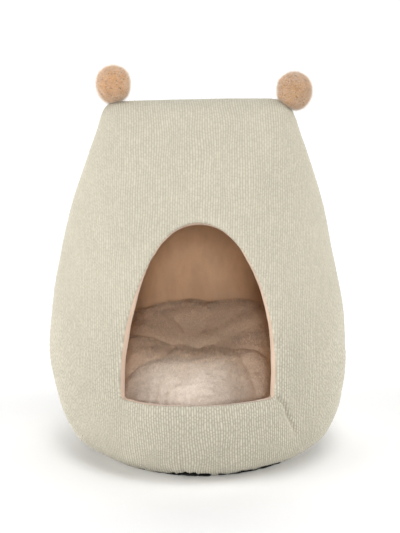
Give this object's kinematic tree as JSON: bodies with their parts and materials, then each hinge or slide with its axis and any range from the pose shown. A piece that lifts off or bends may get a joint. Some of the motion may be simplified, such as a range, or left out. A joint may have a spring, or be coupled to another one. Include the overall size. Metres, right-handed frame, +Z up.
{
  "type": "cat dome",
  "caption": "Padded knit cat dome with an arched doorway, a short-pile lining, a loose tufted cushion and a felted pompom ear at each end of its straight ridge.",
  "frame": {"origin": "middle of the whole part's outline, on the flat underside of the base cloth that rests on the floor", "axes": "+Z up, the ridge runs along X, the doorway faces -Y"},
  "size_m": [0.405, 0.4003, 0.52],
  "materials": {
    "knit": "cream ribbed knit, nubby and matt",
    "lining": "blush short-pile velvet, soft sheen",
    "plush": "pale blush long-pile plush, brushed",
    "felt": "tan felted wool with dark flecks, fuzzy",
    "base": "near-black woven base cloth, gathered at its edge"
  },
  "bodies": {
    "root": {"front_panel": "knit", "back_panel": "knit", "lining": "lining", "door_facing": "lining", "base_cloth": "base", "cushion": "plush", "pompom_left": "felt", "pompom_right": "felt"}
  },
  "joints": []
}
